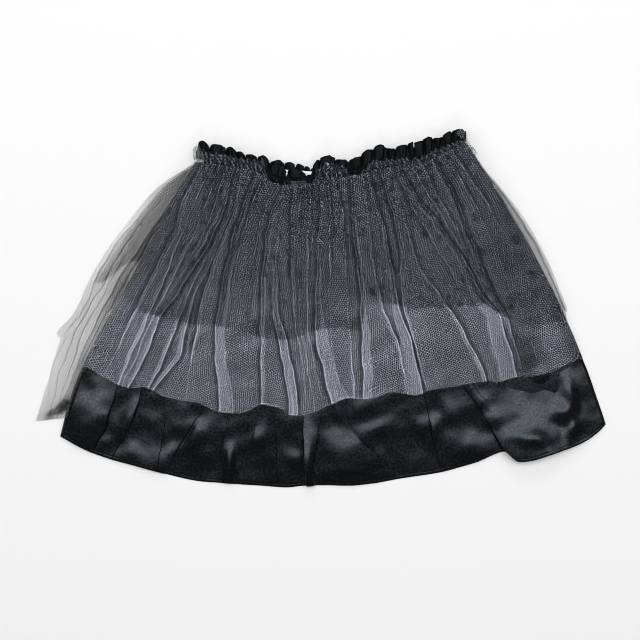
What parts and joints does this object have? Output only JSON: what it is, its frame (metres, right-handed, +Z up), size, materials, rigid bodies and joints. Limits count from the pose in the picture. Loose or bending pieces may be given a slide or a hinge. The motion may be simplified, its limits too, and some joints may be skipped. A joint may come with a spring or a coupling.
{
  "type": "ballet tutu",
  "caption": "Child's gathered tutu skirt laid flat: grey tulle layers over a black satin underskirt, on a frilled elastic waist.",
  "frame": {"origin": "middle of the outline, on the surface that the skirt lies on", "axes": "+X to the right as seen from above, along the hem; +Y towards the waist; +Z up, out of the front"},
  "size_m": [0.5292, 0.331, 0.0131],
  "materials": {
    "satin": "black polyester satin, soft gloss",
    "grey_tulle": "grey hexagonal net, matt",
    "dark_tulle": "charcoal hexagonal net, matt",
    "label_tape": "white woven tape, matt, blank"
  },
  "bodies": {
    "root": {"satin_front": "satin", "satin_back": "satin", "tulle_long_front": "grey_tulle", "tulle_long_back": "grey_tulle", "tulle_short_front": "dark_tulle", "tulle_short_back": "dark_tulle", "waist_casing_front": "satin", "waist_casing_back": "satin", "satin_heading_front": "satin", "satin_heading_back": "satin", "tulle_heading_front": "grey_tulle", "tulle_heading_back": "grey_tulle", "waist_label": "label_tape"}
  },
  "joints": []
}
